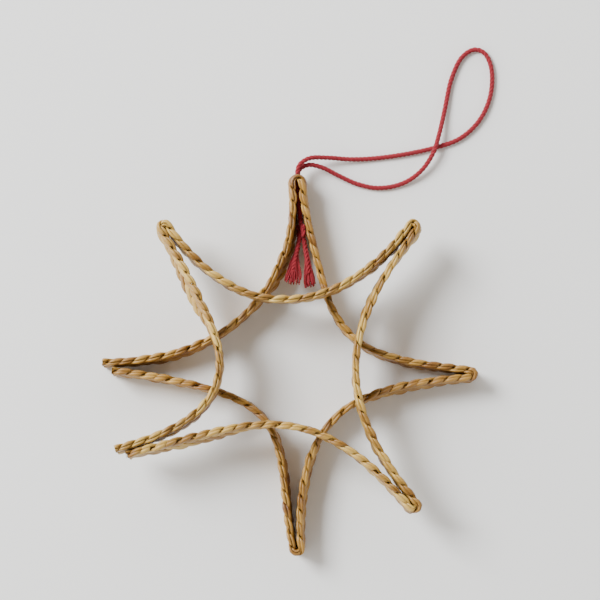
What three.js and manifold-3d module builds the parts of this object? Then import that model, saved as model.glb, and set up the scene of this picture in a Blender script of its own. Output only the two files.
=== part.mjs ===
// A hanging ornament of plaited straw.
//
// Two closed bands of flat straw plait stand on edge. Each is folded at four points into a star with
// hollow sides, and the second band is laid on the first an eighth of a turn round, so that together they
// show eight points. A red thread goes through the fold of the top point, is knotted inside it and makes
// the loop that the ornament hangs by.
//
// Units are millimetres. The star lies on its lower band, +Z is up and +Y points to the threaded point.

import * as THREE from "three";
import { mergeVertices } from "three/addons/utils/BufferGeometryUtils.js";
import Module from "manifold-3d";

const wasm = await Module();
wasm.setup();

// ---- Driving dimensions -------------------------------------------------------------------------------

const BAND_WIDTH = 6.5; // a plait's flat width, which is its height on edge
const BAND_THICKNESS = 1.5; // two layers of flattened straw
const EDGE_THICKNESS = 1.15; // where each splint folds over the plait's edge
const SPLINTS = 5; // straws in the plait
const SPLINT_ANGLE = 42; // degrees between a splint and the plait's length
const TOOTH_DEPTH = 0.45; // notch between two folds on the edge
const GROOVE_DEPTH = 0.22; // step from one splint to the next on the face

const FOLD_RADIUS = 0.85; // middle of the plait round a folded point
const THREAD_BELLY = 0.5; // the threaded point bulges round the strands between its edges
const BELLY_LENGTH = 6; // over which the bulge fades once the legs part
const TILT_LENGTH = 20; // a folded point that leans over stands straight again this far from its fold
const SEAM_TRIM = 2; // a seam's lower end stops short of the upper one
const SEAM_GRIP = 3; // length over which a seam's two ends are glued

const THREAD_DIAMETER = 1;
const THREAD_CLEARANCE = 0.3;
const STRAND_HEIGHTS = [3.9, 2.6]; // the two strands in the fold: the one going out, the one coming back

// A splint crosses the plait and comes back in one period, and one of the splints folds over each edge
// every tooth.
const PERIOD = (2 * BAND_WIDTH) / Math.tan(THREE.MathUtils.degToRad(SPLINT_ANGLE));
const TOOTH = PERIOD / SPLINTS;
const CHEVRON = PERIOD / 4; // how far a splint runs along the plait from its edge to its middle

// Each point of a star: its direction from the centre and its reach, both to the outermost straw, the
// direction in which its two legs run, which isn't always straight out from the centre, and how far its
// foot stands to the left of its upper edge, seen from the centre. The legs of the threaded point are held
// together by the thread, so they run side by side for some way before they part.
const LOWER_STAR = {
  level: 0,
  points: [
    { name: "W", angle: 180.6, reach: 38.9, axis: 181, tilt: 0.5, seam: true },
    { name: "N", angle: 87, reach: 40.4, axis: 94, tilt: 0, belly: THREAD_BELLY, hold: 3.5 },
    { name: "E", angle: -2.9, reach: 40.2, axis: -1, tilt: -0.4 },
    { name: "S", angle: -86.6, reach: 40.2, axis: -82, tilt: 0.3 },
  ],
  // The sides, one after each point in turn. Straw plait is springy, so a side is one smooth curve between
  // two folds: "splay" is how far it turns out of the point's axis, "pull" how far it keeps that
  // direction, and "lean" how far its foot stands out from its upper edge, each at its start and end.
  sides: [
    { splay: [0, 9.5], pull: [23.7, 24], lean: [-0.7, -1.3] },
    { splay: [9.7, 4.9], pull: [28.5, 30.5], lean: [0.2, -0.6] },
    { splay: [2.5, 3.5], pull: [24.5, 27], lean: [1.1, 0.8] },
    { splay: [3, 8.5], pull: [25.5, 42], lean: [-0.5, 0.3] },
  ],
};

const UPPER_STAR = {
  level: BAND_WIDTH,
  points: [
    { name: "SW", angle: 207.6, reach: 39.8, axis: 195, tilt: 0.7, seam: true },
    { name: "NW", angle: 131.3, reach: 39.5, axis: 124, tilt: 0.8 },
    { name: "NE", angle: 47.4, reach: 40.3, axis: 54, tilt: -0.7 },
    { name: "SE", angle: -48.1, reach: 40.9, axis: -51, tilt: -0.6 },
  ],
  sides: [
    { splay: [0, 1], pull: [27.5, 33], lean: [-0.6, 2.1] },
    { splay: [0.5, 0], pull: [31.5, 18.5], lean: [-0.2, -0.5] },
    { splay: [0, 0], pull: [27.5, 27.5], lean: [-0.5, -0.4] },
    { splay: [0, 0], pull: [31.5, 25], lean: [0.4, 1.5] },
  ],
};

// The loop of thread, from the knot out through the fold, round and back: plan position and height.
const THREAD_ROUTE = [
  [3, 29.8, 3.6],
  [2.66, 33.6, 3.8],
  [2.35, 37, 3.9],
  [2.25, 40.4, 3.9],
  [2.8, 42.3, 3.8],
  [4.8, 43.7, 3.3],
  [8.9, 44, 2],
  [13.4, 43.8, 1],
  [18, 44, 0.56],
  [24.4, 44.8, 0.56],
  [31.5, 46.3, 0.56],
  [37, 48.3, 0.56],
  [41.2, 52.2, 0.56],
  [43.6, 57.6, 0.56],
  [43.8, 63.6, 0.56],
  [42.3, 66.8, 0.56],
  [40.2, 67.5, 0.56],
  [37.6, 65.9, 0.56],
  [35.3, 61.2, 0.56],
  [33.8, 54.5, 0.8],
  [32.5, 49, 1.6],
  [31.2, 45, 1.8],
  [28.6, 41.2, 1.3],
  [24.6, 38.6, 0.6],
  [19.6, 37.7, 0.56],
  [15.2, 38.5, 0.6],
  [11, 40.3, 1.1],
  [7.6, 41.9, 1.9],
  [4.7, 42.4, 2.5],
  [2.8, 41.5, 2.6],
  [2.28, 39.8, 2.6],
  [2.35, 37, 2.6],
  [2.66, 33.6, 2.7],
  [3, 29.8, 3],
];
const KNOT = [3.08, 28.2, 3.3];

// The thread's two ends past the knot, which come apart into brushes.
const THREAD_TAILS = [
  { route: [[2.9, 28, 3.4], [2.5, 25.4, 3.9], [1.8, 22, 4.5], [1.3, 19.4, 5]], tip: [1.2, 16.6, 5.4], spread: 3.4 },
  { route: [[3.3, 28, 3.2], [3.8, 25.4, 3.7], [4.4, 21.6, 4.4], [4.8, 19, 4.8]], tip: [5, 16.1, 5], spread: 2.4 },
];
const BRUSH_THICKNESS = 1;

// ---- Materials ----------------------------------------------------------------------------------------

const straw = new THREE.MeshStandardMaterial({ color: 0xc9a766, roughness: 0.5, metalness: 0 });
const paleStraw = new THREE.MeshStandardMaterial({ color: 0xd2b679, roughness: 0.5, metalness: 0 });
const redCotton = new THREE.MeshStandardMaterial({ color: 0xa81f33, roughness: 0.9, metalness: 0 });

// ---- The star's plan ----------------------------------------------------------------------------------

function heading(degrees) {
  const radians = THREE.MathUtils.degToRad(degrees);
  return new THREE.Vector2(Math.cos(radians), Math.sin(radians));
}

// Where the legs of a point stand: its axis, the centre of its fold and the fold's radius.
function pointFrame(point) {
  const axis = heading(point.axis);
  const outside = FOLD_RADIUS + BAND_THICKNESS / 2;
  const reach = outside + (point.belly ?? 0);
  const centre = heading(point.angle).multiplyScalar(point.reach).addScaledVector(axis, -reach);
  return { axis, across: leftOf(axis), outside, centre };
}

// A leg's foot beside the fold, the place where it parts from the other leg, and the direction in which it
// runs inwards from there. The band is followed clockwise, so it reaches a point on its left (side 1) and
// leaves it on its right (side -1).
function legStart(point, side, splay) {
  const { axis, across, outside, centre } = pointFrame(point);
  const foot = centre.clone().addScaledVector(across, side * FOLD_RADIUS);
  if (point.seam) foot.addScaledVector(axis, side < 0 ? outside : outside - SEAM_TRIM);
  const parting = foot.clone().addScaledVector(axis, -(point.hold ?? 0));
  return { foot, parting, inward: heading(point.axis + 180 - side * splay) };
}

function sideCurve(from, to, { splay, pull }) {
  const start = legStart(from, -1, splay[0]);
  const end = legStart(to, 1, splay[1]);
  const sweep = new THREE.CubicBezierCurve(
    start.parting,
    start.parting.clone().addScaledVector(start.inward, pull[0]),
    end.parting.clone().addScaledVector(end.inward, pull[1]),
    end.parting,
  );
  const path = new THREE.CurvePath();
  path.arcLengthDivisions = 400;
  if (from.hold) path.add(new THREE.LineCurve(start.foot, start.parting));
  path.add(sweep);
  if (to.hold) path.add(new THREE.LineCurve(end.parting, end.foot));
  return path;
}

function leftOf(direction) {
  return new THREE.Vector2(-direction.y, direction.x);
}

// Points of one band in plan, in the order in which they are met.
function sideCurves(star) {
  return star.sides.map((side, i) => sideCurve(star.points[i], star.points[(i + 1) % 4], side));
}

// ---- The plait ----------------------------------------------------------------------------------------

const COLUMNS = [1, 0.5, 0, -0.5, -1]; // across the plait, from its upper edge to its lower edge

// Half the plait's thickness at a column, and how far its edge is notched. Upper and lower splints take
// turns, so a ridge in the upper half meets a groove in the lower half.
function relief(column, tooth, flat) {
  const groove = flat ? 0 : (column >= 0 ? tooth : tooth + 1) % 2;
  const edge = Math.abs(column) === 1;
  if (edge) return { half: EDGE_THICKNESS / 2, notch: TOOTH_DEPTH * groove };
  if (column === 0) return { half: BAND_THICKNESS / 2 - GROOVE_DEPTH / 2, notch: 0 };
  return { half: BAND_THICKNESS / 2 - GROOVE_DEPTH * groove, notch: 0 };
}

// One vertex of the plait: the place on its middle line, its outward normal, how far it bulges halfway
// up, and how far its foot stands from its upper edge.
function plaitVertex({ middle, outward, belly, footing }, column, face, level, { half, notch }) {
  const height = (column * BAND_WIDTH) / 2 - Math.sign(column) * notch;
  const plan = middle.clone().addScaledVector(outward, face * half + belly * (1 - column ** 2));
  plan.addScaledVector(footing, 0.5 - height / BAND_WIDTH);
  return new THREE.Vector3(plan.x, plan.y, level + BAND_WIDTH / 2 + height);
}

// The ten vertices of a cross-section, down the outer face and up the inner face. On the outer face the
// splints run forwards to the middle and on the inner face backwards, which gives the herringbone.
function section(placeAt, distance, tooth, level, chevron, flat) {
  const vertices = [];
  for (const face of [1, -1]) {
    const columns = face > 0 ? COLUMNS : [...COLUMNS].reverse();
    for (const column of columns) {
      const along = distance + face * chevron * (1 - Math.abs(column));
      vertices.push(plaitVertex(placeAt(along), column, face, level, relief(column, tooth, flat)));
    }
  }
  return vertices;
}

function easeIn(x) {
  return THREE.MathUtils.smoothstep(x, 0, 1);
}

function sideSections(curve, { from, to, lean }, level, crossings) {
  const length = curve.getLength();
  const steps = 2 * Math.round(length / TOOTH);
  const placeAt = (along) => {
    const share = THREE.MathUtils.clamp(along / length, 0, 1);
    const fromPoint = Math.min(share, 1 - share) * length;
    const point = share < 0.5 ? from : to;
    const leanHere = (share < 0.5 ? lean[0] : lean[1]) * Math.sin((2 * Math.PI * fromPoint) / length) ** 2;
    const tiltHere = point.tilt * (1 - easeIn(fromPoint / TILT_LENGTH));
    const outward = leftOf(curve.getTangentAt(share));
    return {
      middle: curve.getPointAt(share),
      outward,
      belly: (point.belly ?? 0) * (1 - easeIn((fromPoint - (point.hold ?? 0)) / BELLY_LENGTH)),
      footing: outward.clone().multiplyScalar(leanHere).addScaledVector(pointFrame(point).across, tiltHere),
    };
  };
  const sections = [];
  for (let i = 0; i <= steps; i++) {
    const distance = (length * i) / steps;
    const fromEnd = Math.min(distance, length - distance);
    const middle = curve.getPointAt(i / steps);
    const pressed = crossings.some((c) => c.distanceTo(middle) < 1.3 * TOOTH);
    const flat = pressed || fromEnd < TOOTH;
    sections.push(section(placeAt, distance, i, level, CHEVRON * easeIn((5 * fromEnd) / length), flat));
  }
  return sections;
}

// The half turn round a folded point, between the legs' own end sections.
function foldSections(point, level) {
  const { across, centre } = pointFrame(point);
  const footing = across.clone().multiplyScalar(point.tilt);
  const steps = 6;
  const sections = [];
  for (let i = 1; i < steps; i++) {
    const outward = heading(point.axis + 90 - (180 * i) / steps);
    const middle = centre.clone().addScaledVector(outward, FOLD_RADIUS);
    const place = { middle, outward, belly: point.belly ?? 0, footing };
    sections.push(section(() => place, 0, 0, level, 0, true));
  }
  return sections;
}

// A skin over the sections, with a flat cut end at the first and the last.
function skin(sections) {
  const size = 2 * COLUMNS.length;
  const positions = sections.flat().flatMap((v) => [v.x, v.y, v.z]);
  const index = [];
  const quad = (a, b, c, d) => index.push(a, c, b, a, d, c);
  for (let i = 0; i + 1 < sections.length; i++) {
    for (let j = 0; j < size; j++) {
      const next = (j + 1) % size;
      quad(i * size + j, i * size + next, (i + 1) * size + next, (i + 1) * size + j);
    }
  }
  const last = (sections.length - 1) * size;
  for (let j = 0; j + 1 < COLUMNS.length; j++) {
    const back = size - 1 - j;
    quad(j, back, back - 1, j + 1);
    quad(last + j, last + j + 1, last + back - 1, last + back);
  }
  const geometry = new THREE.BufferGeometry();
  geometry.setAttribute("position", new THREE.Float32BufferAttribute(positions, 3));
  geometry.setIndex(index);
  return geometry;
}

function bandGeometry(star, crossings) {
  const curves = sideCurves(star);
  const sections = curves.flatMap((curve, i) => {
    const next = star.points[(i + 1) % 4];
    const ends = { from: star.points[i], to: next, lean: star.sides[i].lean };
    const side = sideSections(curve, ends, star.level, crossings);
    return next.seam ? side : [...side, ...foldSections(next, star.level)];
  });
  return skin(sections);
}

// Where the sides of one star cross those of the other, found on their plan curves.
function crossingsOf(first, second) {
  const places = [];
  for (const a of sideCurves(first)) {
    for (const b of sideCurves(second)) {
      const near = nearestPlace(a, b);
      if (near.distance < 0.5) places.push(near.place);
    }
  }
  return places;
}

function nearestPlace(a, b) {
  let best = { distance: Infinity };
  const pointsB = b.getSpacedPoints(120);
  for (const place of a.getSpacedPoints(120)) {
    for (const other of pointsB) {
      const distance = place.distanceTo(other);
      if (distance < best.distance) best = { distance, place };
    }
  }
  return best;
}

// ---- Joins and cuts -----------------------------------------------------------------------------------

function toSolid(geometry) {
  const bare = geometry.clone();
  bare.deleteAttribute("normal");
  bare.deleteAttribute("uv");
  const merged = mergeVertices(bare, 1e-4);
  return new wasm.Manifold(
    new wasm.Mesh({
      numProp: 3,
      vertProperties: merged.attributes.position.array,
      triVerts: new Uint32Array(merged.index.array),
    }),
  );
}

function toGeometry(solid) {
  const mesh = solid.getMesh();
  const geometry = new THREE.BufferGeometry();
  geometry.setAttribute("position", new THREE.BufferAttribute(mesh.vertProperties, 3));
  geometry.setIndex(new THREE.BufferAttribute(mesh.triVerts, 1));
  geometry.computeVertexNormals();
  return geometry;
}

// A block on a point's axis, from one distance behind the point's fold centre to another.
function blockOnAxis(point, from, to, width, bottom, top) {
  const { axis, centre } = pointFrame(point);
  const block = new THREE.BoxGeometry(to - from, width, top - bottom);
  block.rotateZ(Math.atan2(axis.y, axis.x));
  const middle = centre.clone().addScaledVector(axis, (from + to) / 2);
  return block.translate(middle.x, middle.y, (bottom + top) / 2);
}

// The glue between the two ends at a seam, kept below the plait's edges so that the slot stays open.
function seamGlue(star) {
  const point = star.points[0];
  const { across, outside } = pointFrame(point);
  const width = 2 * FOLD_RADIUS - 0.5 * BAND_THICKNESS;
  const end = outside - SEAM_TRIM - 0.3;
  const glue = blockOnAxis(point, end - SEAM_GRIP, end, width, star.level + 1.2, star.level + BAND_WIDTH - 1.2);
  return glue.translate((across.x * point.tilt) / 2, (across.y * point.tilt) / 2, 0);
}

// The hole that the needle leaves in the threaded fold.
function needleHole(star) {
  const point = star.points[1];
  const { outside } = pointFrame(point);
  const room = THREAD_DIAMETER / 2 + THREAD_CLEARANCE;
  const [top, bottom] = STRAND_HEIGHTS;
  return blockOnAxis(point, 0.2, outside + 1.5, 2 * room, bottom - room, top + room);
}

// ---- The thread ---------------------------------------------------------------------------------------

// A tube along a smooth line through the given places, with eight sides.
function strand(places, steps) {
  const line = new THREE.CatmullRomCurve3(places.map((p) => new THREE.Vector3(...p)), false, "centripetal");
  const radius = THREAD_DIAMETER / 2;
  const round = new THREE.Shape();
  for (let i = 0; i < 8; i++) {
    const turn = (i / 8) * 2 * Math.PI;
    const x = radius * Math.cos(turn);
    const y = radius * Math.sin(turn);
    if (i === 0) round.moveTo(x, y);
    else round.lineTo(x, y);
  }
  return new THREE.ExtrudeGeometry(round, { steps, extrudePath: line, curveSegments: 1 });
}

// An overhand knot drawn tight: two turns of thread across each other, round the crossing strands.
function knotGeometry() {
  const turns = [
    { tilt: [0.5, 0, 0.3], offset: 0.25 },
    { tilt: [-0.6, 0.5, -0.2], offset: -0.25 },
  ];
  let solid = toSolid(new THREE.IcosahedronGeometry(0.8, 1));
  for (const { tilt, offset } of turns) {
    const turn = new THREE.TorusGeometry(0.66, THREAD_DIAMETER / 2, 8, 14);
    turn.rotateX(Math.PI / 2);
    turn.applyMatrix4(new THREE.Matrix4().makeRotationFromEuler(new THREE.Euler(...tilt)));
    turn.translate(0, offset, 0);
    solid = solid.add(toSolid(turn));
  }
  return toGeometry(solid).translate(...KNOT);
}

// The brush at the end of a tail: a flattened cone that opens from the thread's width to its spread.
function brush({ route, tip, spread }) {
  const root = new THREE.Vector3(...route[route.length - 1]);
  const along = new THREE.Vector3(...tip).sub(root);
  const length = along.length();
  const sideways = new THREE.Vector3(0, 0, 1).cross(along).normalize();
  const cone = new THREE.CylinderGeometry(spread / 2, THREAD_DIAMETER / 2, length, 10);
  cone.scale(1, 1, BRUSH_THICKNESS / spread);
  cone.translate(0, length / 2 - 0.2, 0);
  along.normalize();
  cone.applyMatrix4(new THREE.Matrix4().makeBasis(sideways, along, sideways.clone().cross(along)));
  return cone.translate(root.x, root.y, root.z);
}

function knotAndTails() {
  let solid = toSolid(knotGeometry());
  for (const tail of THREAD_TAILS) {
    solid = solid.add(toSolid(strand(tail.route, 8))).add(toSolid(brush(tail)));
  }
  return toGeometry(solid);
}

// ---- The ornament -------------------------------------------------------------------------------------

function piece(name, geometry, material) {
  geometry.computeVertexNormals();
  const mesh = new THREE.Mesh(geometry, material);
  mesh.name = name;
  return mesh;
}

const crossings = crossingsOf(LOWER_STAR, UPPER_STAR);
const lowerBand = toSolid(bandGeometry(LOWER_STAR, crossings))
  .add(toSolid(seamGlue(LOWER_STAR)))
  .subtract(toSolid(needleHole(LOWER_STAR)));
const upperBand = toSolid(bandGeometry(UPPER_STAR, crossings)).add(toSolid(seamGlue(UPPER_STAR)));

const lowerMesh = piece("lower_plaited_star", toGeometry(lowerBand), straw);
const upperMesh = piece("upper_plaited_star", toGeometry(upperBand), paleStraw);

const group = new THREE.Group();
group.name = "straw_ornament";
group.add(lowerMesh, upperMesh);

// The origin is under the middle of the star itself, without its loop of thread.
const starBox = new THREE.Box3().setFromObject(group);
const starCentre = starBox.getCenter(new THREE.Vector3());
group.position.set(-starCentre.x, -starCentre.y, 0);

group.add(piece("hanging_loop", strand(THREAD_ROUTE, 80), redCotton));
group.add(piece("knot_and_tails", knotAndTails(), redCotton));

export default group;
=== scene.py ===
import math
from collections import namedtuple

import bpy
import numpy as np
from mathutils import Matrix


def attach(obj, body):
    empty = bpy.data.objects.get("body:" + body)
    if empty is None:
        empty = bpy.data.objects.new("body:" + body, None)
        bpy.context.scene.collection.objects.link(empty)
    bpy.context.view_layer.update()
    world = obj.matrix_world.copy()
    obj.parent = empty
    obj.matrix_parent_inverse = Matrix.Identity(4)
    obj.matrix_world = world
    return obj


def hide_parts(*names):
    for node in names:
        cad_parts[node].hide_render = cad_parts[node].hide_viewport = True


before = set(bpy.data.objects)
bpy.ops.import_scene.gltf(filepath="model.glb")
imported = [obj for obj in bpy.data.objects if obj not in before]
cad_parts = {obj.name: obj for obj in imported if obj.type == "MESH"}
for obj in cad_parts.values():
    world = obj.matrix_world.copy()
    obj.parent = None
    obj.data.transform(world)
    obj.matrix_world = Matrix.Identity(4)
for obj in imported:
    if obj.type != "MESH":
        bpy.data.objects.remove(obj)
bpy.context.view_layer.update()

# %% [markdown]
# # A star of plaited straw on a loop of red thread
#
# The ornament is two bands of flat straw plait. Each band stands on edge and is folded at four
# points into a star, and the second star is laid on the first an eighth of a turn round. A loop of
# red thread comes out of the top point.
#
# Everything is worked out in millimetres and turned to metres as it goes into a mesh. The sizes are
# those of the solid model, so that each visible piece fills the place of its solid.

MM = 0.001
rng = np.random.default_rng(8)  # for the loose yarns of the brushes

# %% [markdown]
# ## The camera
#
# The star lies on a table and is seen from straight above. The camera's distance sets how much
# larger the upper band looks than the lower one, so the distance comes first, and the angle of view
# follows from the width that has to fit in.

# %% Camera
# Millimetres, as everything here.
CAMERA_PLACE = np.array([5.2, -8.5, 390.0])
CAMERA_TARGET = np.array([2.2, 13.7, 0.0])
VIEW_WIDTH = 128.0

camera_data = bpy.data.cameras.new("camera")
camera = bpy.data.objects.new("camera", camera_data)
bpy.context.scene.collection.objects.link(camera)
bpy.context.scene.camera = camera
distance = np.linalg.norm(CAMERA_PLACE - CAMERA_TARGET)
camera_data.angle = 2 * math.atan(VIEW_WIDTH / 2 / distance)
camera_data.clip_start = 0.01
camera_data.clip_end = 20
camera.location = CAMERA_PLACE * MM


def turn_for(place, target, up):
    """The rotation that looks from place to target: the camera's own axes are right, up and
    backwards."""
    back = (place - target) / np.linalg.norm(place - target)
    right = np.cross(up, back)
    right /= np.linalg.norm(right)
    rows = np.stack([right, np.cross(back, right), back], axis=1)
    return rows


camera.rotation_euler = Matrix(
    turn_for(CAMERA_PLACE, CAMERA_TARGET, np.array([0.0, 1.0, 0.0])).tolist()
).to_euler()
print(f"camera {distance:.0f} mm away, {math.degrees(camera_data.angle):.1f} degrees wide")

# %% [markdown]
# ## Surfaces from arrays
#
# Every piece here is a long thing: a thread, a ply of a thread, a straw. Each is a grid of places,
# one row for each step along it and one column for each step round it. One function joins such a
# grid into a closed tube, and one puts the arrays into a mesh.


# %% Grids into meshes
def tube_faces(steps, around):
    """Triangles of a tube: each cell of the grid gives two, and a fan closes each end."""
    step, turn = np.meshgrid(np.arange(steps - 1), np.arange(around), indexing="ij")
    a = step * around + turn
    b = step * around + (turn + 1) % around
    c, d = b + around, a + around
    wall = np.concatenate([np.stack([a, b, c], -1), np.stack([a, c, d], -1)]).reshape(-1, 3)
    fan = np.arange(1, around - 1)
    start = np.stack([np.zeros_like(fan), fan + 1, fan], -1)
    end = np.stack([np.zeros_like(fan), fan, fan + 1], -1) + (steps - 1) * around
    return np.concatenate([wall, start, end])


def join_grids(grids):
    """Points, triangles, pattern coordinates and tones of several tubes, one after another."""
    points, faces, patterns, tones, first = [], [], [], [], 0
    for grid, pattern, tone in grids:
        steps, around = grid.shape[:2]
        points.append(grid.reshape(-1, 3))
        patterns.append(pattern.reshape(-1, 2))
        tones.append(np.broadcast_to(tone, (steps, around)).reshape(-1))
        faces.append(tube_faces(steps, around) + first)
        first += steps * around
    return tuple(np.concatenate(parts) for parts in (points, faces, patterns, tones))


def mesh_piece(name, points_mm, faces, pattern, tone):
    """A smooth mesh object. Places nearer than a tenth of a micron are one vertex, and triangles
    that this closes up are dropped. The pattern coordinates and the tone ride along as a UV map and
    an attribute."""
    keys = np.round(points_mm * 1e4).astype(np.int64)
    _, keep, merged = np.unique(keys, axis=0, return_index=True, return_inverse=True)
    merged = merged.reshape(-1)
    triangles = merged[faces]
    good = (
        (triangles[:, 0] != triangles[:, 1])
        & (triangles[:, 1] != triangles[:, 2])
        & (triangles[:, 2] != triangles[:, 0])
    )
    triangles, corners = triangles[good], faces[good]
    mesh = bpy.data.meshes.new(name)
    mesh.vertices.add(len(keep))
    mesh.vertices.foreach_set("co", (points_mm[keep] * MM).astype(np.float32).ravel())
    mesh.loops.add(triangles.size)
    mesh.loops.foreach_set("vertex_index", triangles.ravel().astype(np.int32))
    mesh.polygons.add(len(triangles))
    mesh.polygons.foreach_set("loop_start", np.arange(0, triangles.size, 3, dtype=np.int32))
    mesh.polygons.foreach_set("loop_total", np.full(len(triangles), 3, dtype=np.int32))
    mesh.update(calc_edges=True)
    mesh.polygons.foreach_set("use_smooth", np.ones(len(triangles), dtype=bool))
    uv = mesh.uv_layers.new(name="pattern")
    uv.data.foreach_set("uv", pattern[corners.ravel()].astype(np.float32).ravel())
    attribute = mesh.attributes.new("tone", "FLOAT", "POINT")
    attribute.data.foreach_set("value", tone[keep].astype(np.float32))
    mesh.validate()
    piece = bpy.data.objects.new(name, mesh)
    bpy.context.scene.collection.objects.link(piece)
    print(f"{name}: {len(keep)} vertices, {len(triangles)} triangles")
    return piece


# %% [markdown]
# ## The star's plan
#
# Seen from above, a band is a thin closed line: four springy sides and four folds. Straw plait
# bends like a spring, so each side is one smooth cubic curve that leaves a fold along the point's
# axis, swings past the middle of the star and comes into the next fold along that point's axis. A
# fold is a half turn.

# %% Sizes of the plaited bands
BAND_WIDTH = 6.5
BAND_THICKNESS = 1.5
FOLD_RADIUS = 0.85  # of the band's middle line in a fold
THREAD_BELLY = 0.5  # how far the top point bulges halfway up, where the thread goes through
BELLY_LENGTH = 6.0  # over which the bulge fades once the legs part
TILT_LENGTH = 20.0  # over which a point's tilt fades along its legs
SEAM_TRIM = 2.0  # by how much one end of a band is shorter than the other
# The middle of the star's own box, from the place where its points' directions meet.
STAR_MIDDLE = np.array([0.612, 0.051])

Point = namedtuple("Point", "angle reach axis tilt belly hold")
Side = namedtuple("Side", "splay pull lean")

# Each point: its direction from the centre and its reach to the outermost straw, the direction in
# which its legs run, how far its foot stands to the left of its upper edge, how far it bulges
# halfway up, and how far its legs run side by side before they part. The first point of a band is
# its seam.
LOWER_POINTS = [
    Point(180.6, 38.9, 181.0, 0.5, 0.0, 0.0),
    Point(87.0, 40.4, 94.0, 0.0, THREAD_BELLY, 3.5),
    Point(-2.9, 40.2, -1.0, -0.4, 0.0, 0.0),
    Point(-86.6, 40.2, -82.0, 0.3, 0.0, 0.0),
]
UPPER_POINTS = [
    Point(207.6, 39.8, 195.0, 0.7, 0.0, 0.0),
    Point(131.3, 39.5, 124.0, 0.8, 0.0, 0.0),
    Point(47.4, 40.3, 54.0, -0.7, 0.0, 0.0),
    Point(-48.1, 40.9, -51.0, -0.6, 0.0, 0.0),
]
# Each side, at its start and its end: how far it turns out of the point's axis, how far it keeps
# that direction, and how far its foot stands out from its upper edge.
LOWER_SIDES = [
    Side((0, 9.5), (23.7, 24), (-0.7, -1.3)),
    Side((9.7, 4.9), (28.5, 30.5), (0.2, -0.6)),
    Side((2.5, 3.5), (24.5, 27), (1.1, 0.8)),
    Side((3, 8.5), (25.5, 42), (-0.5, 0.3)),
]
UPPER_SIDES = [
    Side((0, 1), (27.5, 33), (-0.6, 2.1)),
    Side((0.5, 0), (31.5, 18.5), (-0.2, -0.5)),
    Side((0, 0), (27.5, 27.5), (-0.5, -0.4)),
    Side((0, 0), (31.5, 25), (0.4, 1.5)),
]


# %% Line of a band
def heading(degrees):
    """The unit vector at an angle from +X: its cosine and its sine."""
    return np.array([math.cos(math.radians(degrees)), math.sin(math.radians(degrees))])


def left_of(direction):
    """A direction turned a quarter to the left: x and y become -y and x."""
    return np.stack([-direction[..., 1], direction[..., 0]], axis=-1)


def fading(distance, length):
    """One at the start, nothing from the given length on, with a smooth step between."""
    share = np.clip(distance / length, 0, 1)
    return 1 - share * share * (3 - 2 * share)


def fold_centre(point):
    """The middle of a fold's half turn: the tip, less the fold's outer radius and its bulge along the
    point's axis."""
    tip_to_centre = FOLD_RADIUS + BAND_THICKNESS / 2 + point.belly
    return heading(point.angle) * point.reach - heading(point.axis) * tip_to_centre


def leg_start(point, side, splay, is_seam):
    """Where a leg leaves its fold, and which way it runs. Side 1 is the leg by which the band
    arrives, side -1 the one by which it leaves. At the seam the legs end in cuts instead, one short
    of the other."""
    axis = heading(point.axis)
    foot = fold_centre(point) + left_of(axis) * side * FOLD_RADIUS
    if is_seam:
        outside = FOLD_RADIUS + BAND_THICKNESS / 2
        foot = foot + axis * (outside if side < 0 else outside - SEAM_TRIM)
    return foot, heading(point.axis + 180 - side * splay)


def side_line(start, end, side, seam_start, seam_end):
    """One side of a star: a cubic curve between the two places where legs part, with a straight
    start or end where a leg is held. Gives its places, its outward normals, the way from its upper
    edge to its foot, and its bulge. The lean rises and falls once over each half, and a point's
    tilt and bulge fade out along its legs."""
    foot_a, way_a = leg_start(start, -1, side.splay[0], seam_start)
    foot_b, way_b = leg_start(end, 1, side.splay[1], seam_end)
    parting_a = foot_a - heading(start.axis) * start.hold
    parting_b = foot_b - heading(end.axis) * end.hold
    t = np.linspace(0, 1, 1500)[:, None]
    pull_a, pull_b = side.pull
    corners = [parting_a, parting_a + way_a * pull_a, parting_b + way_b * pull_b, parting_b]
    weights = [(1 - t) ** 3, 3 * (1 - t) ** 2 * t, 3 * (1 - t) * t**2, t**3]
    places = sum(w * c for w, c in zip(weights, corners))
    held = np.linspace(0, 1, 60)[:-1, None]
    if start.hold:
        places = np.concatenate([foot_a + (parting_a - foot_a) * held, places])
    if end.hold:
        places = np.concatenate([places, (foot_b + (parting_b - foot_b) * held)[::-1]])
    steps = np.linalg.norm(np.diff(places, axis=0), axis=1)
    length = steps.sum()
    share = np.concatenate([[0], np.cumsum(steps)]) / length
    tangents = np.gradient(places, axis=0)
    tangents /= np.linalg.norm(tangents, axis=1, keepdims=True)
    outward = left_of(tangents)
    from_point = np.minimum(share, 1 - share) * length
    first_half = share < 0.5
    leaning = np.where(first_half, *side.lean) * np.sin(2 * np.pi * from_point / length) ** 2
    tilting = np.where(first_half, start.tilt, end.tilt) * fading(from_point, TILT_LENGTH)
    across = np.where(
        first_half[:, None], left_of(heading(start.axis))[None], left_of(heading(end.axis))[None]
    )
    footing = outward * leaning[:, None] + across * tilting[:, None]
    parted = from_point - np.where(first_half, start.hold, end.hold)
    bulge = np.where(first_half, start.belly, end.belly) * fading(parted, BELLY_LENGTH)
    return places, outward, footing, bulge


def fold_line(point):
    """The half turn round a folded point, clockwise about the fold's centre."""
    turn = np.radians(point.axis + 90 - np.linspace(0, 180, 61)[1:-1])
    outward = np.stack([np.cos(turn), np.sin(turn)], axis=1)
    footing = np.tile(left_of(heading(point.axis)) * point.tilt, (len(turn), 1))
    bulge = np.full(len(turn), point.belly)
    return fold_centre(point) + outward * FOLD_RADIUS, outward, footing, bulge


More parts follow.
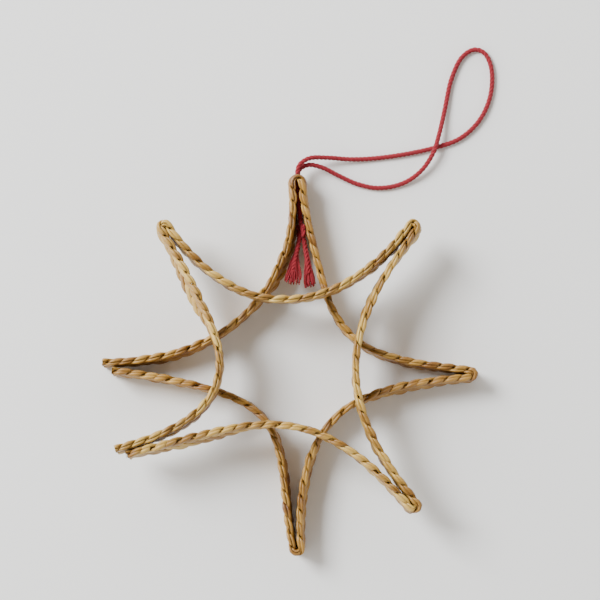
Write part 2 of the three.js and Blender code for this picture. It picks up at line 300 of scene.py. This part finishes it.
class BandLine:
    """The middle line of a band in plan, as tables against the distance along it."""

    def __init__(self, points, sides):
        parts = []
        for i, side in enumerate(sides):
            last = i == len(sides) - 1
            parts.append(side_line(points[i], points[(i + 1) % 4], side, i == 0, last))
            if not last:
                parts.append(fold_line(points[i + 1]))
        places, outward, footing, bulge = (np.concatenate(column) for column in zip(*parts))
        places = places - STAR_MIDDLE
        steps = np.linalg.norm(np.diff(places, axis=0), axis=1)
        self.distance = np.concatenate([[0], np.cumsum(steps)])
        self.length = self.distance[-1]
        self.columns = np.column_stack([places, outward, footing, bulge])

    def at(self, distance):
        """Place, outward normal, footing and bulge at any distances, read off the tables."""
        read = np.stack([np.interp(distance, self.distance, c) for c in self.columns.T], axis=-1)
        outward = read[..., 2:4] / np.linalg.norm(read[..., 2:4], axis=-1, keepdims=True)
        return read[..., 0:2], outward, read[..., 4:6], read[..., 6]


lower_line = BandLine(LOWER_POINTS, LOWER_SIDES)
upper_line = BandLine(UPPER_POINTS, UPPER_SIDES)
print(f"lower band {lower_line.length:.1f} mm long, upper band {upper_line.length:.1f} mm long")

# %% [markdown]
# ## The thread's loop
#
# A soft cotton thread, about a millimetre thick, goes from its knot out through the needle hole in
# the top fold, lies on the table in a long loop that crosses itself once, and comes back in through
# the same hole. It is limp, so it keeps to the table except near the hole and where it passes over
# itself.
#
# A thread is plies twisted round each other. Here each ply is its own tube on a screw line round
# the thread's path, which gives the real slanting ridges at any viewing angle.

# %% Thread path
PLIES = 3
PLY_RADIUS = 0.325
PLY_OFFSET = 0.21
TWIST_LENGTH = 2.7  # one full turn of a ply round the thread
PLY_SIDES = 10

THREAD_ROUTE = np.array([
    [3, 29.8, 3.6], [2.66, 33.6, 3.8], [2.35, 37, 3.9], [2.25, 40.4, 3.9],
    [2.8, 42.3, 3.8], [4.8, 43.7, 3.3], [8.9, 44, 2], [13.4, 43.8, 1],
    [18, 44, 0.56], [24.4, 44.8, 0.56], [31.5, 46.3, 0.56], [37, 48.3, 0.56],
    [41.2, 52.2, 0.56], [43.6, 57.6, 0.56], [43.8, 63.6, 0.56], [42.3, 66.8, 0.56],
    [40.2, 67.5, 0.56], [37.6, 65.9, 0.56], [35.3, 61.2, 0.56], [33.8, 54.5, 0.8],
    [32.5, 49, 1.6], [31.2, 45, 1.8], [28.6, 41.2, 1.3], [24.6, 38.6, 0.6],
    [19.6, 37.7, 0.56], [15.2, 38.5, 0.6], [11, 40.3, 1.1], [7.6, 41.9, 1.9],
    [4.7, 42.4, 2.5], [2.8, 41.5, 2.6], [2.28, 39.8, 2.6], [2.35, 37, 2.6],
    [2.66, 33.6, 2.7], [3, 29.8, 3],
])


def smooth_line(knots, spacing):
    """A centripetal Catmull-Rom curve through the knots, then evenly spaced places along it. Each
    span is blended from the four knots round it, with the square root of the knots' distances as
    its clock."""
    ends = np.concatenate([[2 * knots[0] - knots[1]], knots, [2 * knots[-1] - knots[-2]]])
    clock = np.concatenate([[0], np.cumsum(np.linalg.norm(np.diff(ends, axis=0), axis=1) ** 0.5)])
    pieces = []
    for i in range(len(knots) - 1):
        t0, t1, t2, t3 = clock[i : i + 4]
        p0, p1, p2, p3 = ends[i : i + 4]
        t = np.linspace(t1, t2, 60, endpoint=i == len(knots) - 2)[:, None]
        a1 = (t1 - t) / (t1 - t0) * p0 + (t - t0) / (t1 - t0) * p1
        a2 = (t2 - t) / (t2 - t1) * p1 + (t - t1) / (t2 - t1) * p2
        a3 = (t3 - t) / (t3 - t2) * p2 + (t - t2) / (t3 - t2) * p3
        b1 = (t2 - t) / (t2 - t0) * a1 + (t - t0) / (t2 - t0) * a2
        b2 = (t3 - t) / (t3 - t1) * a2 + (t - t1) / (t3 - t1) * a3
        pieces.append((t2 - t) / (t2 - t1) * b1 + (t - t1) / (t2 - t1) * b2)
    dense = np.concatenate(pieces)
    run = np.concatenate([[0], np.cumsum(np.linalg.norm(np.diff(dense, axis=0), axis=1))])
    count = max(int(run[-1] / spacing), 2)
    even = np.linspace(0, run[-1], count + 1)
    return np.stack([np.interp(even, run, dense[:, k]) for k in range(3)], axis=1), even


def line_frames(line):
    """Two unit vectors square to the line at each place. They are carried along it and pushed back
    square at each step, so they don't spin."""
    tangent = np.gradient(line, axis=0)
    tangent /= np.linalg.norm(tangent, axis=1, keepdims=True)
    first = np.empty_like(line)
    guess = np.array([0.0, 0.0, 1.0])
    if abs(tangent[0] @ guess) > 0.9:
        guess = np.array([1.0, 0.0, 0.0])
    for i, direction in enumerate(tangent):
        guess = guess - direction * (guess @ direction)
        guess /= np.linalg.norm(guess)
        first[i] = guess
    return first, np.cross(tangent, first)


def twisted_thread(line, run, spread=None, thin=None):
    """The plies of a thread as grids. A ply's centre turns round the line once every twist length,
    and the ply is a circle about that centre in the plane square to the line. spread and thin
    change the plies' distance and thickness along the line, for an end that comes undone."""
    first, second = line_frames(line)
    spread = np.ones(len(run)) if spread is None else spread
    thin = np.ones(len(run)) if thin is None else thin
    round_angle = np.linspace(0, 2 * np.pi, PLY_SIDES, endpoint=False)
    grids = []
    for ply in range(PLIES):
        turn = 2 * np.pi * (run / TWIST_LENGTH + ply / PLIES)
        along_x = PLY_OFFSET * spread * np.cos(turn)
        along_y = PLY_OFFSET * spread * np.sin(turn)
        radius = (PLY_RADIUS * thin)[:, None]
        x = along_x[:, None] + radius * np.cos(round_angle)
        y = along_y[:, None] + radius * np.sin(round_angle)
        grid = line[:, None] + first[:, None] * x[..., None] + second[:, None] * y[..., None]
        lengths = np.broadcast_to(run[:, None], x.shape)
        angles = np.broadcast_to(round_angle / (2 * np.pi) * 1.6, x.shape)
        pattern = np.stack([lengths + 400 * ply, angles], axis=-1)
        grids.append((grid, pattern, 0.5))
    return grids


loop_line, loop_run = smooth_line(THREAD_ROUTE - [*STAR_MIDDLE, 0], 0.22)
hanging_thread = mesh_piece("hanging_thread", *join_grids(twisted_thread(loop_line, loop_run)))
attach(hanging_thread, "root")
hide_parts("hanging_loop")
print(f"thread loop {loop_run[-1]:.1f} mm from knot to knot")

# %% [markdown]
# ## The knot and its tails
#
# Behind the fold the two ends of the thread are tied together in one overhand knot, which is too
# thick to slip back through the needle hole. Its tails run down into the top point, where the plies
# come apart into single yarns and make two small brushes.
#
# An overhand knot is a trefoil with open ends. Three polynomials in one parameter draw it, and the
# pair of strands follows it side by side. A brush is a sheaf of fine tubes: each starts inside the
# thread, leaves it at its own height, and ends at its own place across the brush.


# %% Knot
KNOT_MIDDLE = np.array([3.08, 28.2, 3.5]) - [*STAR_MIDDLE, 0]
KNOT_SIZE = np.array([0.792, 1.045, 1.045])  # across, along and upwards, for a trefoil of about one
# The loop's two ends go on into the knot.
KNOT_ENTRIES = [
    np.array([[2.98, 30, 3.6], [3, 29.4, 3.62], [3.05, 28.8, 3.7]]),
    np.array([[2.98, 30, 2.98], [3, 29.4, 3], [3.05, 28.8, 3.1]]),
]
# Each tail: its route, the middle of its brush's end, and the brush's width there.
TAILS = [
    (
        np.array([[2.9, 28, 3.4], [2.5, 25.4, 3.9], [1.8, 22, 4.5], [1.3, 19.4, 5]]),
        np.array([1.2, 16.6, 5.4]),
        3.4,
    ),
    (
        np.array([[3.3, 28, 3.2], [3.8, 25.4, 3.7], [4.4, 21.6, 4.4], [4.8, 19, 4.8]]),
        np.array([5, 16.1, 5]),
        2.4,
    ),
]
YARNS = 80  # in each brush
YARN_RADIUS = 0.11
KNOT_STEP = 0.15
TAIL_STEP = 0.2
BRUSH_TOP = 6  # steps of the tail between its end and the last of its yarns
BRUSH_ROOT = 26  # steps of the tail over which its yarns come out
UNDONE_LENGTH = 2.5  # the end of a tail over which its plies come apart


def knot_line():
    """An open trefoil. Along its parameter t, one way is t cubed less 3t, another t to the fourth
    less 4t squared, and the third t to the fifth less 10t; the first becomes the knot's height, the
    second its length and the third its width."""
    t = np.linspace(-2.02, 2.02, 90)
    high = (t**3 - 3 * t) / 2.2
    length = (t**4 - 4 * t**2 + 1.9) / 2.1
    wide = (t**5 - 10 * t) / 13.0
    return np.stack([wide, length, high], axis=1) * KNOT_SIZE + KNOT_MIDDLE


def round_tube(line, radius, sides=5):
    """A thin tube along a line, narrower towards its end."""
    first, second = line_frames(line)
    turn = np.linspace(0, 2 * np.pi, sides, endpoint=False)
    size = radius * np.linspace(1, 0.75, len(line))[:, None]
    grid = (
        line[:, None]
        + first[:, None] * (size * np.cos(turn))[..., None]
        + second[:, None] * (size * np.sin(turn))[..., None]
    )
    run = np.linspace(0, 4, len(line))[:, None] + 0 * turn
    return grid, np.stack([run, run * 0 + turn / 6], axis=-1)


def brush(line, tip, spread):
    """The loose yarns at a tail's end. A yarn is a cubic curve: it leaves the thread along the
    tail, and its end is thrown across the brush by up to half the spread, a little up or down, and
    some fall short."""
    away = line[-1] - line[-BRUSH_TOP]
    away /= np.linalg.norm(away)
    across = np.cross(away, [0, 0, 1.0])
    across /= np.linalg.norm(across)
    t = np.linspace(0, 1, 12)[:, None]
    yarns = []
    for _ in range(YARNS):
        start = line[-BRUSH_TOP - rng.integers(0, BRUSH_ROOT)] + rng.normal(0, 0.15, 3)
        throw = rng.uniform(-0.5, 0.5)
        reach = rng.uniform(0.75, 1.0)
        end = start + (tip - start) * reach + across * throw * spread + [0, 0, rng.normal(0, 0.22)]
        bow = across * throw * 0.5 + rng.normal(0, 0.12, 3)
        near, far = start + away * 1.1 + bow * 0.3, end - away * 0.9 + bow
        curve = (
            (1 - t) ** 3 * start
            + 3 * (1 - t) ** 2 * t * near
            + 3 * (1 - t) * t**2 * far
            + t**3 * end
        )
        grid, pattern = round_tube(curve, YARN_RADIUS * rng.uniform(0.8, 1.2))
        yarns.append((grid, pattern, rng.uniform(0.2, 0.8)))
    return yarns


knot_grids = []
knot_places = knot_line()
knot_run = np.concatenate([[0], np.cumsum(np.linalg.norm(np.diff(knot_places, axis=0), axis=1))])
even_run = np.linspace(0, knot_run[-1], int(knot_run[-1] / KNOT_STEP))
even_knot = np.stack([np.interp(even_run, knot_run, knot_places[:, k]) for k in range(3)], axis=1)
knot_grids += twisted_thread(even_knot, even_run)
for entry in KNOT_ENTRIES:
    knot_grids += twisted_thread(*smooth_line(entry - [*STAR_MIDDLE, 0], KNOT_STEP))
for route, tip, spread in TAILS:
    line, run = smooth_line(route - [*STAR_MIDDLE, 0], TAIL_STEP)
    undone = np.clip((run - run[-1]) / UNDONE_LENGTH + 1, 0, 1) ** 1.5
    knot_grids += twisted_thread(line, run, spread=1 + 0.6 * undone, thin=1 - 0.55 * undone)
    knot_grids += brush(line, tip - [*STAR_MIDDLE, 0], spread)
thread_knot = mesh_piece("thread_knot", *join_grids(knot_grids))
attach(thread_knot, "root")
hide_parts("knot_and_tails")

# %% [markdown]
# ## The plait
#
# Five straws are soaked, pressed flat and plaited over two and under two. Each straw runs across
# the front from an edge to the middle, dives under its neighbours, goes on along the back to the
# other edge, folds over and starts again. That gives a herringbone on both faces and a row of small
# folds along each edge.
#
# It could be a flat strip with a bump map, but the edges are what shows from above, so the straws
# are really plaited here. A straw is a flat ribbon that is rolled out on a plane: "across" is its
# distance across the plait, measured along its own path through front, edge and back. The plane
# wraps round the plait, so that every fibre of a straw folds on the edge line, which makes the
# mitred folds by itself.

# %% Sizes of a straw in the plait
STRAWS = 5
TOOTH = (2 * BAND_WIDTH) / math.tan(math.radians(42)) / STRAWS
STRAW_THICKNESS = 0.56
LAYER = 0.38  # how far the front and the back layer lie from the plait's middle
STRAIGHT = BAND_WIDTH / 2 - LAYER - STRAW_THICKNESS / 2
ROUND_TRIP = 4 * STRAIGHT + 2 * math.pi * LAYER
SLOPE = ROUND_TRIP / (STRAWS * TOOTH)
SLANT = math.atan(SLOPE)
STRAW_WIDTH = 0.93 * TOOTH * math.sin(SLANT)
DIVE = 0.85  # half the distance over which a straw dives under its neighbours
EDGE_ZONE = 1.3  # how far from an edge a fold changes a straw
EDGE_SPREAD = 0.03  # the share by which a fold widens it
CORNER_DROP = 0.26  # how far a fold's sides lie lower than its middle
CORNER_LEAN = 0.09  # how much further the later side drops
LAY = 0.14  # how far a fold's later side lies towards the front
ARCH = 0.06  # how far a straw's middle stands out between the edge and the middle
UNEVEN_HEIGHT, UNEVEN_LEAN, UNEVEN_PLACE = 0.09, 0.09, 0.2  # how far the folds differ
# The size and the wavelength of slow drifts: to a straw's side, along the band, and in its tone.
SIDE_DRIFT, PLACE_DRIFT, TONE_DRIFT = (0.05, 17), (0.15, 11), (0.12, 40)
LONGEST_CUT = 0.4  # the most that a straw's end falls short of the band's
print(f"straws {STRAW_WIDTH:.2f} mm wide at {math.degrees(SLANT):.0f} degrees")
print(f"a fold every {TOOTH:.2f} mm")


# %% One straw's way through the plait
def half_trip(across, dive_from):
    """Place and direction in the plait's cross-section, from the outermost of one edge to that of
    the other: a quarter round to the front, straight over to the middle, a smooth dive to the back,
    straight on, and a quarter round. Returns the height on the band, the depth towards the front,
    and their rates."""
    quarter = math.pi * LAYER / 2
    first = np.clip(across / LAYER, 0, math.pi / 2)
    flat = np.clip(across - quarter, 0, 2 * STRAIGHT)
    last = np.clip((across - quarter - 2 * STRAIGHT) / LAYER, 0, math.pi / 2)
    stage = np.clip(dive_from / DIVE, -1, 1)
    dive = -np.sin(stage * math.pi / 2)
    diving = abs(dive_from) < DIVE
    dive_rate = np.where(diving, -np.cos(stage * math.pi / 2) * math.pi / 2 / DIVE, 0)
    high = STRAIGHT - flat + LAYER * (np.cos(first) - 1) - LAYER * np.sin(last) + LAYER
    deep = np.where(
        across < quarter,
        LAYER * np.sin(first),
        np.where(across > quarter + 2 * STRAIGHT, -LAYER * np.cos(last), LAYER * dive),
    )
    high_rate = np.where(
        across < quarter,
        -np.sin(first),
        np.where(across > quarter + 2 * STRAIGHT, -np.cos(last), -1.0),
    )
    deep_rate = np.where(
        across < quarter,
        np.cos(first),
        np.where(across > quarter + 2 * STRAIGHT, np.sin(last), LAYER * dive_rate),
    )
    return high, deep, high_rate, deep_rate


def stations():
    """Steps across half a round trip, close together on the folds and wider between."""
    quarter = math.pi * LAYER / 2
    bend = np.linspace(0, quarter, 5)[:-1]
    run = quarter + np.linspace(0, 2 * STRAIGHT, 17)[:-1]
    end = quarter + 2 * STRAIGHT + np.linspace(0, quarter, 5)[:-1]
    return np.concatenate([bend, run, end])


def wander(distance, size, wavelength, seed):
    """A smooth seeded drift along a distance: five sines of random phase about one wavelength."""
    local = np.random.default_rng(seed)
    waves = wavelength * local.uniform(0.6, 2.2, 5)
    phases = local.uniform(0, 2 * np.pi, 5)
    total = sum(np.sin(2 * np.pi * distance / w + p) for w, p in zip(waves, phases))
    return size * total / 2.2


# %% Straws along a band
# A straw's own section is a flat oval with full sides.
PROFILE_TURN = np.linspace(0, 2 * np.pi, 16, endpoint=False)
PROFILE_SIDE = np.sign(np.cos(PROFILE_TURN)) * abs(np.cos(PROFILE_TURN)) ** 0.7
PROFILE_UP = np.sign(np.sin(PROFILE_TURN)) * abs(np.sin(PROFILE_TURN)) ** 0.75


def straw_grid(line, level, straw, seed):
    """One straw of the plait as a grid: rows are steps across the round trips, columns go round the
    straw's own flat section. A fibre's distance along the band is the straw's own, plus across over
    the slope, plus the fibre's offset over the sine of the slant."""
    local = np.random.default_rng(seed)
    half = ROUND_TRIP / 2
    halves = int(line.length * SLOPE / half) + 4
    across = (np.arange(-3, halves)[:, None] * half + stations()).ravel()
    width = STRAW_WIDTH * local.uniform(0.95, 1.05)
    thick = STRAW_THICKNESS * local.uniform(0.9, 1.1)
    start = straw * TOOTH
    along = start + across / SLOPE
    keep = (along > -2.5) & (along < line.length + 2.5)
    across, along = across[keep][:, None], along[keep][:, None]

    trip = np.floor(across / half + 1e-9)
    inside = across - trip * half
    side = np.where(trip % 2 == 0, 1.0, -1.0)
    # A straw spreads a little in a fold, and each fold differs from the next in height, in
    # fatness, in its place along the band, and in how far it leans to one face.
    near_edge = np.clip(1 - np.minimum(inside, half - inside) / EDGE_ZONE, 0, 1) ** 1.3
    fold_number = (np.round(across / half) + 6).astype(int)
    folds = halves + 14
    uneven = local.normal(0, UNEVEN_HEIGHT, folds)[fold_number]
    fatness = local.uniform(0.1, 0.6, folds)[fold_number]
    sideways = local.normal(0, UNEVEN_LEAN, folds)[fold_number]
    lengthways = local.normal(0, UNEVEN_PLACE, folds)[fold_number]
    offset = width / 2 * PROFILE_SIDE * (1 + EDGE_SPREAD * near_edge)
    offset = offset + wander(along, *SIDE_DRIFT, seed + 1)
    up = thick / 2 * PROFILE_UP
    dive_from = (inside - half / 2) / math.sin(SLANT) + offset * (
        1 / math.tan(SLANT) - 1 / math.tan(2 * SLANT)
    )
    inside_all = np.broadcast_to(inside, dive_from.shape)
    high, deep, high_rate, deep_rate = half_trip(inside_all, dive_from)
    size = np.hypot(high_rate, deep_rate)
    # Push each vertex out of the straw's middle surface, along its normal in the cross-section.
    high = high + up * deep_rate / size
    deep = deep - up * high_rate / size
    rounded = CORNER_DROP * abs(PROFILE_SIDE) ** 3 + CORNER_LEAN * (PROFILE_SIDE + 1)
    high = high - np.sign(high) * near_edge * (rounded + uneven)
    deep = deep * (1 + near_edge * fatness * (1 - PROFILE_SIDE**2))
    deep = deep + near_edge * (sideways + LAY * PROFILE_SIDE)
    arch = np.sin(np.pi * (inside / half * 2 % 1)) * (1 - PROFILE_SIDE**2)
    deep = deep + np.sign(deep) * ARCH * arch
    high = high * side

    distance = along + offset / math.sin(SLANT) + wander(along, *PLACE_DRIFT, seed + 2)
    distance = distance + near_edge * lengthways
    cut = local.uniform(0, LONGEST_CUT, 2)
    distance = np.clip(distance, cut[0], line.length - cut[1])
    place, outward, footing, bulge = line.at(distance)
    shift = deep + bulge * (1 - (2 * high / BAND_WIDTH) ** 2)
    plan = place + outward * shift[..., None] + footing * (0.5 - high / BAND_WIDTH)[..., None]
    height = level + BAND_WIDTH / 2 + high
    grid = np.concatenate([plan, height[..., None]], axis=-1)
    run = across / math.sin(SLANT) + offset / math.tan(SLANT)
    pattern = np.stack([run + 500 * straw, PROFILE_SIDE * 0.5 * width + 0 * run], axis=-1)
    tone = local.uniform(0.2, 0.8) + wander(along, *TONE_DRIFT, seed + 3)
    return grid, pattern, np.clip(tone, 0, 1) + 0 * run


def plaited_band(name, node, line, level, seed):
    """All the straws of a band as one piece, which keeps just inside the band's own height."""
    grids = [straw_grid(line, level, straw, seed + 20 * straw) for straw in range(STRAWS)]
    points, faces, pattern, tone = join_grids(grids)
    margin = 0.02
    points[:, 2] = np.clip(points[:, 2], level + margin, level + BAND_WIDTH - margin)
    piece = mesh_piece(name, points, faces, pattern, tone)
    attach(piece, "root")
    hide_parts(node)
    return piece


lower_plait = plaited_band(
    "lower_plait", "lower_plaited_star", lower_line, 0.0, 100
)
upper_plait = plaited_band(
    "upper_plait", "upper_plaited_star", upper_line, BAND_WIDTH, 700
)

# %% [markdown]
# ## Materials
#
# Colours are written as sRGB hex values, as a paint chart gives them, and one function turns them
# to the linear numbers that the renderer works with. One small function adds a node.


# %% Helpers for materials
def colour(hex_text):
    """sRGB hex to linear: each channel over 12.92 near black, otherwise a power of 2.4."""
    channels = [int(hex_text[i : i + 2], 16) / 255 for i in (1, 3, 5)]
    linear = [c / 12.92 if c <= 0.04045 else ((c + 0.055) / 1.055) ** 2.4 for c in channels]
    return (*linear, 1.0)


def add(tree, kind, inputs=(), stops=(), **settings):
    """Add a node. inputs maps a socket's name or number to a value or to another node's output, and
    stops are the places and colours of a ramp."""
    made = tree.nodes.new(kind)
    for name, value in settings.items():
        setattr(made, name, value)
    for socket, value in dict(inputs).items():
        if isinstance(value, bpy.types.NodeSocket):
            tree.links.new(value, made.inputs[socket])
        else:
            made.inputs[socket].default_value = value
    for i, (place, shade) in enumerate(stops):
        stop = made.color_ramp.elements[i] if i < 2 else made.color_ramp.elements.new(place)
        stop.position = place
        stop.color = shade
    return made


def new_material(name):
    """An empty node material and its tree."""
    material = bpy.data.materials.new(name)
    material.use_nodes = True
    material.node_tree.nodes.clear()
    return material, material.node_tree


# %% [markdown]
# Straw is the dried stem of a cereal. Its skin is waxy, so it has a soft shine drawn out along the
# stem, and fine parallel fibres run the length of it. One stem goes from greenish yellow to gold to
# a warm brown, and no two in a plait match.


# %% Straw
def straw_material(name, pale, middle, deep, seed):
    """Flattened straw. Its colour runs from pale to deep with the straw's tone, long patches and fibres,
    and the fibres are also a fine relief and a change of gloss."""
    material, tree = new_material(name)
    pattern = add(tree, "ShaderNodeUVMap", uv_map="pattern").outputs["UV"]
    tone = add(tree, "ShaderNodeAttribute", attribute_name="tone").outputs["Fac"]
    # Pattern coordinates are millimetres along and across the stem.
    long_streaks = add(
        tree,
        "ShaderNodeMapping",
        {"Vector": pattern, "Scale": (0.12, 9.0, 1.0), "Location": (seed, 0, 0)},
    ).outputs[0]
    fibres = add(
        tree,
        "ShaderNodeTexNoise",
        {"Vector": long_streaks, "Scale": 1.0, "Detail": 3.0, "Roughness": 0.65},
    ).outputs["Fac"]
    long_patches = add(
        tree,
        "ShaderNodeMapping",
        {"Vector": pattern, "Scale": (0.16, 0.5, 1.0), "Location": (seed, 3, 0)},
    ).outputs[0]
    patches = add(
        tree,
        "ShaderNodeTexNoise",
        {"Vector": long_patches, "Scale": 1.0, "Detail": 2.0, "Roughness": 0.5},
    ).outputs["Fac"]
    # The shade is the straw's own tone, its long patches and its fibres, added up.
    patchy = add(tree, "ShaderNodeMath", {0: patches, 1: 0.5}, operation="MULTIPLY").outputs[0]
    toned = add(
        tree, "ShaderNodeMath", {0: tone, 1: 0.45, 2: patchy}, operation="MULTIPLY_ADD"
    ).outputs[0]
    shade = add(
        tree, "ShaderNodeMath", {0: fibres, 1: 0.35, 2: toned}, operation="MULTIPLY_ADD"
    ).outputs[0]
    base = add(
        tree,
        "ShaderNodeValToRGB",
        {"Fac": shade},
        stops=[(0.3, colour(pale)), (0.85, colour(deep)), (0.58, colour(middle))],
    ).outputs["Color"]
    bump = add(
        tree, "ShaderNodeBump", {"Height": fibres, "Strength": 0.35, "Distance": 0.00006}
    ).outputs[0]
    rough = add(
        tree, "ShaderNodeMapRange", {"Value": fibres, "To Min": 0.34, "To Max": 0.58}
    ).outputs[0]
    shader = add(
        tree,
        "ShaderNodeBsdfPrincipled",
        {
            "Base Color": base,
            "Roughness": rough,
            "Normal": bump,
            "IOR": 1.45,
            "Coat Weight": 0.12,
            "Coat Roughness": 0.35,
        },
    )
    add(tree, "ShaderNodeOutputMaterial", {"Surface": shader.outputs[0]})
    return material


lower_plait.data.materials.append(
    straw_material("Wheat straw, golden, flattened and plaited", "#bb954a", "#a07731", "#6d4315", 0)
)
upper_plait.data.materials.append(
    straw_material("Wheat straw, pale, flattened and plaited", "#cbae60", "#b28d40", "#7f571d", 40)
)

# %% [markdown]
# The thread is mercerised cotton dyed crimson. Its plies are spun from fine fibres, so the surface
# is matt, with a soft sheen of loose fibre ends, and slightly darker in the grooves between plies.

# %% Cotton thread
material, tree = new_material("Cotton thread, twisted and dyed crimson")
pattern = add(tree, "ShaderNodeUVMap", uv_map="pattern").outputs["UV"]
spun = add(
    tree,
    "ShaderNodeMapping",
    {"Vector": pattern, "Scale": (1.4, 9.0, 1.0), "Rotation": (0, 0, 0.5)},
)
fibres = add(
    tree, "ShaderNodeTexNoise", {"Vector": spun.outputs[0], "Scale": 1.0, "Detail": 3.0}
).outputs["Fac"]
dyed = add(
    tree,
    "ShaderNodeValToRGB",
    {"Fac": fibres},
    stops=[(0.3, colour("#6e0713")), (0.75, colour("#9c1628"))],
).outputs["Color"]
fuzz = add(
    tree, "ShaderNodeBump", {"Height": fibres, "Strength": 0.5, "Distance": 0.00005}
).outputs[0]
cotton = add(
    tree,
    "ShaderNodeBsdfPrincipled",
    {
        "Base Color": dyed,
        "Roughness": 0.85,
        "Normal": fuzz,
        "Sheen Weight": 0.12,
        "Sheen Roughness": 0.4,
    },
)
add(tree, "ShaderNodeOutputMaterial", {"Surface": cotton.outputs[0]})
hanging_thread.data.materials.append(material)
thread_knot.data.materials.append(material)

# %% [markdown]
# ## Table and light
#
# A plain pale table in a pale room. A window to the upper left gives soft shadows that fall to the
# lower right, and the walls fill them with a warmer light. The ceiling is dim, so little light
# comes straight down, and the narrow gaps inside the points stay dark.

# %% Table
table_mesh = bpy.data.meshes.new("table")
TABLE_REACH = 1.5  # metres
table_mesh.from_pydata(
    [(x * TABLE_REACH, y * TABLE_REACH, 0) for x, y in ((-1, -1), (1, -1), (1, 1), (-1, 1))],
    [],
    [(0, 1, 2, 3)],
)
table = bpy.data.objects.new("table", table_mesh)
bpy.context.scene.collection.objects.link(table)
material, tree = new_material("Pale matt table top")
top = add(
    tree, "ShaderNodeBsdfPrincipled", {"Base Color": colour("#eeeeed"), "Roughness": 0.75}
)
add(tree, "ShaderNodeOutputMaterial", {"Surface": top.outputs[0]})
table_mesh.materials.append(material)

# %% Light
WINDOW_WAY = (-0.906, 0.423, 0.0)

world = bpy.data.worlds.new("room")
world.use_nodes = True
bpy.context.scene.world = world
room = world.node_tree
way = add(room, "ShaderNodeTexCoord").outputs["Generated"]
# Round the horizon: brightest on the window side, a pale wall facing it, and a darker side between.
# The places are shares of the way round from the facing wall to the window.
facing = add(
    room, "ShaderNodeVectorMath", {0: way, 1: WINDOW_WAY}, operation="DOT_PRODUCT"
).outputs["Value"]
facing_share = add(
    room, "ShaderNodeMapRange", {"Value": facing, "From Min": -1.0}
).outputs["Result"]
walls = add(
    room,
    "ShaderNodeValToRGB",
    {"Fac": facing_share},
    stops=[
        (0.0, (0.6, 0.575, 0.54, 1)),
        (1.0, (1.0, 0.99, 0.97, 1)),
        (0.33, (0.3, 0.286, 0.265, 1)),
        (0.5, (0.45, 0.432, 0.41, 1)),
        (0.7, (0.7, 0.68, 0.655, 1)),
    ],
).outputs["Color"]
# Overhead: a dim ceiling. The places are the sine of the elevation.
upwards = add(room, "ShaderNodeSeparateXYZ", {0: way}).outputs["Z"]
ceiling = add(
    room,
    "ShaderNodeValToRGB",
    {"Fac": upwards},
    stops=[
        (0.0, (1.0, 1.0, 1.0, 1)),
        (1.0, (0.02, 0.018, 0.016, 1)),
        (0.5, (1.0, 1.0, 1.0, 1)),
        (0.72, (0.32, 0.308, 0.296, 1)),
        (0.9, (0.08, 0.074, 0.068, 1)),
    ],
).outputs["Color"]
glow = add(
    room, "ShaderNodeVectorMath", {0: walls, 1: ceiling}, operation="MULTIPLY"
).outputs["Vector"]
background = room.nodes["Background"]
room.links.new(glow, background.inputs["Color"])
background.inputs["Strength"].default_value = 3.2


def soft_lamp(name, place, target, size, power, tint):
    """A square lamp that faces its target."""
    data = bpy.data.lights.new(name, "AREA")
    data.size = size
    data.energy = power
    data.color = tint
    lamp = bpy.data.objects.new(name, data)
    bpy.context.scene.collection.objects.link(lamp)
    lamp.location = place
    rows = turn_for(
        np.array(place, dtype=float), np.array(target, dtype=float), np.array([0.0, 1.0, 0.1])
    )
    lamp.rotation_euler = Matrix(rows.tolist()).to_euler()


soft_lamp("window", (-0.751, 0.506, 0.787), (0, 0, 0), 0.5, 28.0, (0.955, 0.98, 1.0))
